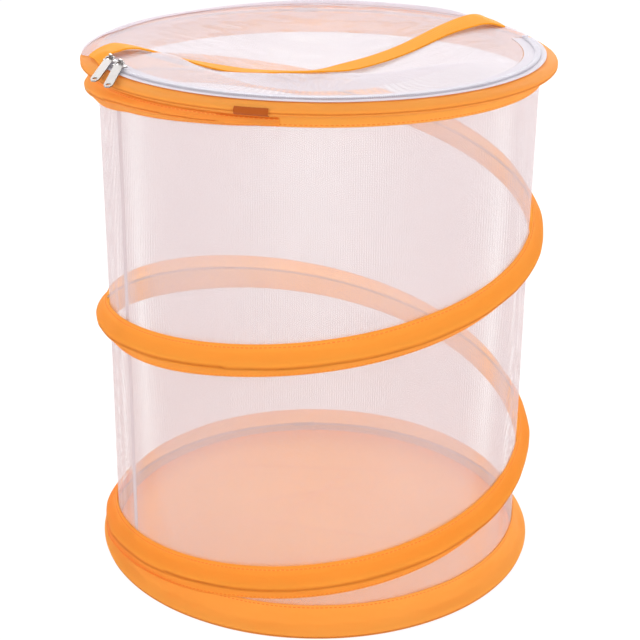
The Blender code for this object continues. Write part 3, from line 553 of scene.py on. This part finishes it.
# Ways of riding on the frame
def fold_with_wall(piece):
    """The piece rides with the base, on a mesh of its own."""
    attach(piece, "base")
    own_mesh(piece)


def fold_with_coil(piece):
    """The piece rides with the base, on a mesh of its own, as the wall's pieces do."""
    fold_with_wall(piece)


def flap_blend(piece):
    """Bakes the piece's placing into its mesh."""
    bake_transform(piece)


def stand_in(piece, slot, *nodes):
    """The piece takes the place of those nodes, which are hidden; the slot is not used."""
    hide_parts(*nodes)


# Bound edges, with the row of the grid that their stitches run on
EDGES = {"top": {"outline": TOP_OUTLINE, "rows": 40, "body": "top_ring", "node": "top_binding",
                 "hoop": "top_hoop_wire", "droop": 0.0048, "stitched": -3},
         "base": {"outline": BASE_OUTLINE, "rows": 44, "body": "base", "node": "base_binding",
                  "hoop": "base_hoop_wire", "droop": 0.0, "stitched": 2}}


def binding_grid(edge):
    """A tape folded round a hoop, with soft puckers, and the row of its ridge.

    The droop makes the part under the ridge that much longer at the rear."""
    rows = edge["rows"]
    line = resample(edge["outline"], rows, 2)
    ridge = int(np.argmax(line[:, 0]))
    angle, step = round_angles()[None, :], np.arange(rows)[:, None]
    r, z = line[:, 0][:, None], line[:, 1][:, None]
    loose = np.clip(np.abs(step - ridge) / rows * 4, 0, 1)
    loose = loose * np.clip((rows - 1 - step) / 3, 0, 1) * np.clip(step / 3, 0, 1)
    wave = puckers(angle * BINDING_RADIUS, step * PUCKER_STEP, BINDING_PUCKERS)
    lower = np.clip((z[ridge] - z) / (z[ridge] - z[-1]), 0, 1)
    z = z - edge["droop"] * lower * ease(0.5 + 1.5 * np.sin(angle - 0.1))
    return polar(r + wave * loose, angle, z + wave * loose * 0.5), ridge


def make_binding(label):
    """A bound edge. Painted shade darkens the groove along its ridge, at the top only in front,
    its stitched edges, and at the base its foot on the floor.
    """
    edge = EDGES[label]
    grid, ridge = binding_grid(edge)
    groove = hump(np.arange(edge["rows"]) - ridge, 0.7, GROOVE_ROWS)
    grid[:, :, :2] *= (1 - GROOVE_DEPTH * groove / BINDING_RADIUS)[:, None, None]
    # Painted shade in the groove, at the upper edge faded out towards the rear
    front = ease(0.6 - 1.2 * np.sin(round_angles())) if label == "top" else np.ones(AROUND)
    painted_shade = GROOVE_SHADE * groove[:, None] * front[None, :]
    # Painted shade along both stitched edges
    painted_shade[0] = painted_shade[-1] = STITCHED_SHADE
    # Painted contact shadow along the foot, where the tape meets the floor
    painted_shade = np.maximum(painted_shade, GROOVE_SHADE * hump(grid[:, :, 2], 0.0, 0.0007))
    piece = shell(label + "_tape", grid, TAPE, (EDGE_CLOTH, TAPE_INNER_PAINTED_LIGHT), True, painted_shade)
    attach(piece, edge["body"])
    stand_in(piece, "orange_tape", edge["node"])
    return grid


def make_bindings(trims):
    grids = {"top": make_binding("top"), "base": make_binding("base")}
    for label, grid in grids.items():
        row = EDGES[label]["stitched"]
        out = grid_normals(grid, True)
        piece = stitches(label + "_tape_stitches", grid[row], out[row], closed=True)
        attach(piece, EDGES[label]["body"])


# Coil with its tape
def coil_height(turn):
    start = COIL_START_RISE * ease(1 - turn * 2 / math.pi)
    return (HEIGHT - COIL_DEPTH - COIL_PITCH * turn / (2 * math.pi)
            + COIL_LEAN * np.cos(turn - COIL_LEAN_AT) + start)


def surface_under(z):
    """Radius of the wall or of the bound edge that the coil's tape lies on."""
    radius = WALL_RADIUS
    for outline in (TOP_OUTLINE[6:], BASE_OUTLINE[:6]):
        r = np.array([p[0] for p in outline])[::-1]
        heights = np.array([p[1] for p in outline])[::-1]
        if heights[0] <= z <= heights[-1]:
            radius = max(radius, float(np.interp(z, heights, r)) + GAP)
    return radius


def leaf_sag(turn):
    """How much longer the lower leaf is at a turn, towards the coil's lower end."""
    depth, start, over = LEAF_LATE
    sag = depth * float(ease((turn - start) / over))
    for depth, place, width in LEAF_SAGS:
        sag += depth * float(hump(turn, place, width))
    return sag


def leaf(shares, centre, ridge, foot_z):
    """Points of one leaf, between the ridge and its foot on the wall."""
    foot = surface_under(foot_z) + GAP + TAPE
    return [(foot + (ridge - foot) * out, centre + (foot_z - centre) * far)
            for out, far in shares]


def casing_line(turn, rows):
    """Outline of the tape at a turn; it grows out from under the upper binding at its start."""
    along = math.degrees(turn) - COIL_START
    full, begun = float(ease(along / COIL_LEAD)), float(ease(along / LEAF_BEGINS))
    centre = min(float(coil_height(turn)), HEIGHT - COIL_MIN_DEPTH)
    ridge = COIL_RIDGE - COIL_TUCK * (1 - full)
    below = centre - LEAF_BELOW[0] - LEAF_BELOW[1] * begun - LEAF_BELOW[2] * full - leaf_sag(turn)
    line = leaf(LEAF_UP, centre, ridge, min(centre + LEAF_ABOVE, LEAF_CEILING))
    line += [(ridge, centre)] + leaf(LEAF_DOWN, centre, ridge, max(below, LEAF_FLOOR))
    return resample(line, rows, 1)


def make_coil():
    rows = 26
    turns = np.arange(COIL_START, COIL_END + 0.01, 360 / AROUND) * math.pi / 180
    lines = np.stack([casing_line(turn, rows) for turn in turns], 1)
    step = np.arange(rows)[:, None]
    groove = hump(step - np.argmax(lines[:, :, 0], axis=0)[None, :], 0.8, GROOVE_ROWS)
    loose = np.clip(step / 5, 0, 1) * np.clip((rows - 1 - step) / 5, 0, 1)
    wave = puckers(turns[None, :] * COIL_RADIUS, step * PUCKER_STEP, COIL_PUCKERS)
    radius = lines[:, :, 0] - groove * GROOVE_DEPTH + wave * loose
    grid = polar(radius, (math.pi - turns)[None, :], lines[:, :, 1])[:, ::-1]
    # Painted shade in the groove along the ridge and along both stitched edges of the tape
    painted_shade = groove[:, ::-1] * GROOVE_SHADE
    painted_shade[0], painted_shade[-1] = STITCHED_SHADE, 0.2
    piece = shell("coil_tape", grid, TAPE, (TAPE_CLOTH, TAPE_INNER_PAINTED_LIGHT, EDGE_CLOTH), False, painted_shade,
                  lead=int(np.sum(turns > 0)))
    fold_with_coil(piece)
    stand_in(piece, "orange_tape", "coil_casing")
    out = grid_normals(grid, False)
    for label, row in (("upper", 2), ("lower", -3)):
        sewn = stitches("coil_stitches_" + label, grid[row], out[row])
        fold_with_coil(sewn)
    copy_to_fold("coil_wire", "coil_spring_wire", STEEL, "spring_steel")
    for end in ("upper", "lower"):
        copy_to_fold("coil_cap_" + end, "coil_end_" + end, RUBBER, "white_rubber")


def copy_to_fold(source, name, finish, slot):
    """A steel or rubber piece of the coil, as a copy that rides with the base."""
    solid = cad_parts[source]
    mesh = solid.data.copy()
    mesh.transform(solid.matrix_world)
    mesh.materials.clear()
    mesh.materials.append(finish)
    mesh.shade_smooth()
    mesh.set_sharp_from_angle(angle=math.radians(50))
    piece = add_object(name, mesh)
    fold_with_coil(piece)
    stand_in(piece, slot, source)


# Wall, seam and floor
def make_wall(trims):
    angle = round_angles()[None, :]
    z = np.linspace(WALL_TOP, WALL_BASE, 70)[:, None]
    free = ease((WALL_TOP - z) / BOUND_EDGE) * ease((z - WALL_BASE) / BOUND_EDGE)
    slack = 0.5 + 0.5 * ripple(angle * WALL_RADIUS, z, 31, 0.12, 2.5)
    grid = polar(WALL_RADIUS - WALL_INSET - WALL_SLACK * free * slack, angle, z)
    piece = shell("wall_cloth", grid, NET, (WALL_NET,), True)
    fold_with_wall(piece)
    stand_in(piece, "white_net", "wall_net")


def make_seam():
    across = np.linspace(-SEAM_HALF, SEAM_HALF, 15)[None, :]
    z = np.linspace(WALL_TOP - 0.0004, WALL_BASE + 0.0004, 90)[:, None]
    fold = SEAM_FOLD * np.cos(across / SEAM_HALF * math.pi * 1.5) - GAP
    drift = SEAM_DRIFT * ripple(z, 0.0, 71, 0.11, 1.0, 4)
    grid = polar(WALL_RADIUS - SEAM_INSET + fold, SEAM_ANGLE + (across + drift) / WALL_RADIUS, z)
    # Painted shade in two lines along the seam tape's folds
    painted_shade = hump(across, SEAM_HALF * 0.85, 0.0003) + 0.2 * hump(across, -SEAM_HALF * 0.5, 0.0010)
    piece = shell("seam_tape", grid, SEAM_THICKNESS, (SEAM_CLOTH,),
                  painted_shade=np.broadcast_to(painted_shade, grid.shape[:2]))
    fold_with_wall(piece)
    stand_in(piece, "white_tape", "wall_seam")
    return piece


def disc_map(size):
    """A square grid drawn out to a unit disc, its rows from the rear to the front."""
    side = np.linspace(-1.0, 1.0, size)
    v, u = np.meshgrid(-side, side, indexing="ij")
    return u * np.sqrt(1 - v * v / 2), v * np.sqrt(1 - u * u / 2)


def make_floor():
    x, y = disc_map(120)
    inward = 1 - np.hypot(x, y) ** 2
    x, y = x * FLOOR_RADIUS, y * FLOOR_RADIUS
    z = FLOOR_THICKNESS + FLOOR_WAVE * ripple(x, y, 41, 0.09) * inward + FLOOR_DOME * inward
    painted_shade = np.zeros(x.shape)
    for slope, place, reach in FLOOR_CREASES:
        away = (y - place - slope * x) / math.hypot(1, slope)
        fade = np.exp(-(np.hypot(x, y - place) / reach) ** 4)
        z = z + CREASE_HEIGHT * hump(away, 0.0, CREASE_WIDTH) * fade
        # Painted shade along one side of each crease
        shade = CREASE_SHADE * hump(away, 0.002, CREASE_SHADE_WIDTH) * fade
        painted_shade = np.maximum(painted_shade, shade)
    grid = np.stack((x, y, z), -1)
    piece = shell("floor_sheet", grid, FLOOR_THICKNESS * 0.7, (FLOOR_CLOTH,), painted_shade=painted_shade,
                  cut=grid[:, :, :2])
    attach(piece, "base")
    stand_in(piece, "orange_floor", "floor_panel")


# Lid
def lid_height(x, y):
    """Height of the lid's net: it sags in the middle and stands up in a soft fold in front."""
    share = np.minimum(np.hypot(x, y) / NET_EDGE, 1.0)
    sag = LID_SAG * (1 - share ** 2) ** 2 * (1 + LID_SAG_LEAN * y / NET_EDGE)
    front = ease((-y - 0.02) / 0.06) * (1 - 0.5 * ease((-x - 0.015) / 0.06))
    inward = np.minimum((1 - share) * 2, 1.0)
    return ZIP_Z - sag + LID_RIDGE * front * (4 * inward * (1 - inward)) ** 2


def lid_edge(angle):
    """Radius of the lid net's edge: inside the zip in front, over the binding at the rear."""
    turn = (angle - ZIP_END) % (2 * math.pi)
    rear = 2 * math.pi - (ZIP_END - ZIP_START)
    inside = ease(turn / 0.05) * ease((rear - turn) / 0.05)
    over = ease((turn - 0.02) / 0.20) * ease((rear - turn - 0.02) / 0.20)
    return NET_EDGE + (LID_REACH - NET_EDGE) * inside + LID_OVER * over


def on_binding(r, angle):
    """How much the net lies lower than the zip where it runs over the binding's shoulder."""
    rear = ease((angle - math.radians(36)) / 0.32) * ease((math.radians(135) - angle) / 0.87)
    shoulder = np.interp(r, SHOULDER[:, 0], HEIGHT - SHOULDER[:, 1])
    return shoulder - LID_LIFT * rear * hump(r, LID_LIFT_RADIUS, LID_LIFT_WIDTH)


def under_strap(x, y):
    """Height that the net can't pass, because the carry strap lies on it."""
    strap = strap_grid()
    limit = np.full(x.shape, 2 * HEIGHT)
    for part in (strap[:9], strap[8:]):
        start, ahead = part[0, 4, :2], part[-1, 4, :2] - part[0, 4, :2]
        length = np.linalg.norm(ahead)
        ahead = ahead / length
        along = ((x - start[0]) * ahead[0] + (y - start[1]) * ahead[1]) / length
        aside = np.abs((y - start[1]) * ahead[0] - (x - start[0]) * ahead[1])
        lowest = np.interp(along, np.linspace(0.0, 1.0, len(part)), part[:, :, 2].min(1))
        past_end = np.abs(along - 0.5) > 0.5
        beside = np.maximum(aside - STRAP_HALF - STRAP_MARGIN, 0.0)
        rise = NET_SLOPE * beside + NET_FREE * past_end
        limit = np.minimum(limit, lowest - STRAP_THICKNESS - GAP + rise)
    return limit


def make_lid(trims):
    x, y = disc_map(150)
    share, angle = np.hypot(x, y), np.arctan2(y, x)
    edge = NET_EDGE + (lid_edge(angle) - NET_EDGE) * ease((share - 0.85) / 0.15)
    x, y = share * edge * np.cos(angle), share * edge * np.sin(angle)
    free = ease((1 - share) / 0.25)
    from_puff = (x - LID_PUFF_AT[0]) ** 2 + (y - LID_PUFF_AT[1]) ** 2
    folds = puckers(x, y, LID_FOLDS) + LID_PUFF * np.exp(-from_puff / LID_PUFF_REACH ** 2)
    z = np.minimum(lid_height(x, y) + NET + folds * free, under_strap(x, y))
    grid = np.stack((x, y, z - on_binding(np.hypot(x, y), angle)), -1)
    piece = shell("lid_cloth", grid, NET, (LID_NET,), cut=grid[:, :, :2])
    flap_blend(piece)
    stand_in(piece, "lid_net", "lid_rear_net", "lid_flap_net")


def make_lid_hem():
    """The rear edge of the lid net, turned over on itself along the binding."""
    start, end = ZIP_END + HEM_FROM_ZIP, ZIP_START + 2 * math.pi - HEM_FROM_ZIP
    rows, cols = 9, 200
    angle = np.linspace(start, end, cols)[None, :]
    share = np.linspace(0.0, 1.0, rows)[:, None]
    place = np.linspace(0.0, 1.0, cols)
    width = 0.0006 + HEM_WIDTH * ease(np.minimum(place, 1 - place) / 0.16)
    r = lid_edge(angle) - GAP - width * (1 - share)
    z = ZIP_Z + 2 * NET + 0.0004 - on_binding(r, angle)
    hem = shell("lid_hem", polar(r, angle, z)[:, ::-1], NET, (HEM_NET,))
    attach(hem, "top_ring")
    return hem


# Zip
def tape_arc(name, inner, outer, seed):
    """One side of the zip's tape, from the zip's end to its start."""
    rows, cols = 7, 220
    angle = np.linspace(ZIP_END, ZIP_START, cols)[None, :]
    r = np.linspace(inner, outer, rows)[:, None]
    wave = 0.00015 * ripple(angle * ZIP_RADIUS, r, seed, 0.03)
    middle = np.sin(np.linspace(0, math.pi, rows))[:, None]
    grid = polar(r, angle, ZIP_Z + ZIP_TAPE + (wave + 0.0001) * middle)[:, ::-1]
    return shell(name, grid, ZIP_TAPE * 0.8, (ZIP_CLOTH,))


def teeth_row(name, side):
    """One row of the zip's teeth, which reach over the slit from one side of it."""
    pitch, margin = TOOTH_PITCH / ZIP_RADIUS, ZIP_MARGIN / ZIP_RADIUS
    angle = np.arange(ZIP_START + margin, ZIP_END - margin, pitch)
    angle = angle + (pitch / 2 if side > 0 else 0.0)
    centre = polar(ZIP_RADIUS + side * TOOTH_OUT, angle, ZIP_Z + ZIP_TAPE + TOOTH_LIFT)
    radial = polar(1.0, angle)
    return studs(name, centre, radial, np.broadcast_to(UP, radial.shape), TOOTH_SIZE, NYLON)


def make_zip():
    rim = tape_arc("zip_outer_tape", SLIT_OUT, RIM_TAPE_OUT, 61)
    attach(rim, "top_ring")
    stand_in(rim, "white_tape", "zip_rim_tape")
    inner = tape_arc("zip_inner_tape", FLAP_TAPE_IN, SLIT_IN, 62)
    flap_blend(inner)
    stand_in(inner, "white_tape", "zip_flap_tape", "zip_end_tape_left", "zip_end_tape_right")
    outer_teeth = teeth_row("zip_outer_teeth", 1)
    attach(outer_teeth, "top_ring")
    stand_in(outer_teeth, "white_nylon", "zip_rim_teeth")
    inner_teeth = teeth_row("zip_inner_teeth", -1)
    flap_blend(inner_teeth)
    stand_in(inner_teeth, "white_nylon", "zip_flap_teeth", "zip_end_teeth_left",
             "zip_end_teeth_right")
    return rim, inner


# Strap and label
def smooth_table(table, value, blur=0.02):
    """The table's value at a place, with its corners rounded off."""
    spots = np.clip(value + np.linspace(-blur, blur, 9), 0.0, 1.0)
    return float(np.interp(spots, [p for p, _ in table], [h for _, h in table]).mean())


def strap_grid():
    """The strap's upper face, in rows across it from its left end to its right."""
    start, end = (polar(*place) for place in STRAP_ENDS)
    run = end - start
    left = np.array((-run[1], run[0], 0.0)) / np.linalg.norm(run) * STRAP_HALF
    across = np.linspace(-1.0, 1.0, 9)
    sewn = np.array(STRAP_END_FRONT) * (1 - across[:, None]) / 2 + np.array(
        STRAP_END_REAR) * (1 + across[:, None]) / 2
    rows = []
    for share in np.linspace(0.0, 1.0, 121):
        row = start + run * share + left * across[:, None]
        row[:, 2] = smooth_table(STRAP_PATH, share) - across * smooth_table(STRAP_TILT, share) / 2
        row[:, 2] += STRAP_CROWN * np.cos(across * math.pi / 2)
        rows.append(sewn + (row - sewn) * float(ease(share / STRAP_SEWN)))
    grid = np.array(rows)
    stop = polar(ZIP_RADIUS, ZIP_START + 0.012)
    away = np.hypot(grid[:, :, 0] - stop[0], grid[:, :, 1] - stop[1])
    grid[:, :, 2] += STOP_BULGE * hump(away, 0.0, STOP_REACH)
    return grid


def make_strap():
    """The strap in two halves, which meet at its middle."""
    grid = strap_grid()
    middle = len(grid) // 2
    for name, part, fixed, free in (("strap_left", grid[:middle + 1], 0, 40),
                                    ("strap_right", grid[middle:], -1, 80)):
        piece = shell(name, part, STRAP_THICKNESS, (WEBBING,))
        a, b = grid[fixed, 4].copy(), grid[free, 4].copy()
        b[2] = a[2]
        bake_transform(piece)
    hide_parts("carry_strap")


def make_strap_tail():
    """The strap's right end, turned down inside the ring."""
    angle = np.radians(np.linspace(*TAIL_ANGLES, 9))[None, :]
    grid = polar(TAIL_RADIUS, angle, np.linspace(*TAIL_HEIGHTS, 7)[:, None])[:, ::-1]
    tail = shell("strap_tail", grid, STRAP_THICKNESS, (WEBBING,))
    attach(tail, "top_ring")


def make_label():
    line = resample(TOP_OUTLINE, 120, 6)[LABEL_ROWS]
    tangent = np.gradient(line, axis=0)
    normal = np.stack((-tangent[:, 1], tangent[:, 0]), -1)
    line = line + normal / np.linalg.norm(normal, axis=1, keepdims=True) * LABEL_OFF
    angle = np.radians(np.linspace(*LABEL_ANGLES, 12))[None, :]
    grid = polar(line[:, 0][:, None], angle, line[:, 1][:, None])
    piece = shell("label_cloth", grid, LABEL_THICKNESS, (LABEL_CLOTH,))
    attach(piece, "top_ring")
    stand_in(piece, "brown_label", "side_label")
    return piece


# CAD pieces that show as they are
SHOWN = ((STEEL, ("base_hoop_wire", "base_hoop_ferrule", "top_hoop_wire", "top_hoop_ferrule")),
         (NICKEL, ("slider_left", "slider_right", "pull_tab_left", "pull_tab_right")),
         (NYLON, ("zip_stop_left", "zip_stop_right")))


def finish_solids():
    for finish, names in SHOWN:
        for name in names:
            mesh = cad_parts[name].data
            mesh.materials.clear()
            mesh.materials.append(finish)


# Studio
def make_stage():
    """A pale floor that is lit like a plain surface but shows white, with the cage's shadow."""
    made, tree, shader = new_material("studio_floor")
    tree.nodes.remove(shader)
    matte = node(tree, "BsdfDiffuse", (), {"Color": srgb(STAGE_LIGHT, STAGE_LIGHT, STAGE_LIGHT)})
    dim = node(tree, "BsdfDiffuse", (), {"Color": srgb(STAGE_SEEN, STAGE_SEEN, STAGE_SEEN)})
    glow = node(tree, "Emission", (), {"Color": srgb(255, 255, 255), "Strength": STAGE_GLOW})
    lit = node(tree, "AddShader", (), {0: dim.outputs[0], 1: glow.outputs[0]})
    mix = node(tree, "MixShader", (), {0: seen_straight(tree), 1: matte.outputs[0],
                                       2: lit.outputs[0]})
    tree.links.new(mix.outputs[0], tree.nodes["Material Output"].inputs["Surface"])
    bpy.ops.mesh.primitive_plane_add(size=8.0, location=(0.0, 0.0, -0.0003))
    floor = bpy.context.active_object
    floor.name = "studio_floor"
    floor.data.materials.append(made)


def make_sky():
    """White all round, a little dimmer as light than as a background."""
    world = bpy.data.worlds.new("studio")
    bpy.context.scene.world = world
    world.use_nodes = True
    tree = world.node_tree
    strength = node(tree, "MapRange", (), {"Value": seen_straight(tree), "To Min": SKY_LIGHT,
                                           "To Max": SKY_SEEN})
    sky = tree.nodes["Background"]
    sky.inputs["Color"].default_value = srgb(255, 255, 255)
    tree.links.new(strength.outputs[0], sky.inputs["Strength"])


def make_lamps():
    for name, place, size, power in LAMPS:
        light = bpy.data.lights.new(name, 'AREA')
        light.size = size
        light.energy = power
        lamp = add_object(name, light)
        lamp.location = place
        aim = Vector(LAMP_TARGET) - Vector(place)
        lamp.rotation_euler = aim.to_track_quat('-Z', 'Y').to_euler()


def make_camera():
    """Stands where the photographer stood, by the fit to the photo's hoops."""
    data = bpy.data.cameras.new("camera")
    data.sensor_width = 36.0
    data.lens = CAMERA_LENS
    data.shift_x = CAMERA_SHIFT
    camera = add_object("camera", data)
    tilt = Matrix.Rotation(math.radians(90 - CAMERA_DOWN), 4, 'X')
    roll = Matrix.Rotation(math.radians(CAMERA_ROLL), 4, 'Z')
    camera.matrix_world = Matrix.Translation(CAMERA_PLACE) @ tilt @ roll
    bpy.context.scene.camera = camera


def main():
    bpy.context.scene.view_settings.view_transform = 'Standard'
    rim_tape, inner_tape = make_zip()
    make_bindings([make_label(), rim_tape])
    make_coil()
    make_wall([make_seam()])
    make_floor()
    make_lid([inner_tape, make_lid_hem()])
    make_strap()
    make_strap_tail()
    finish_solids()
    make_stage()
    make_sky()
    make_lamps()
    make_camera()


main()
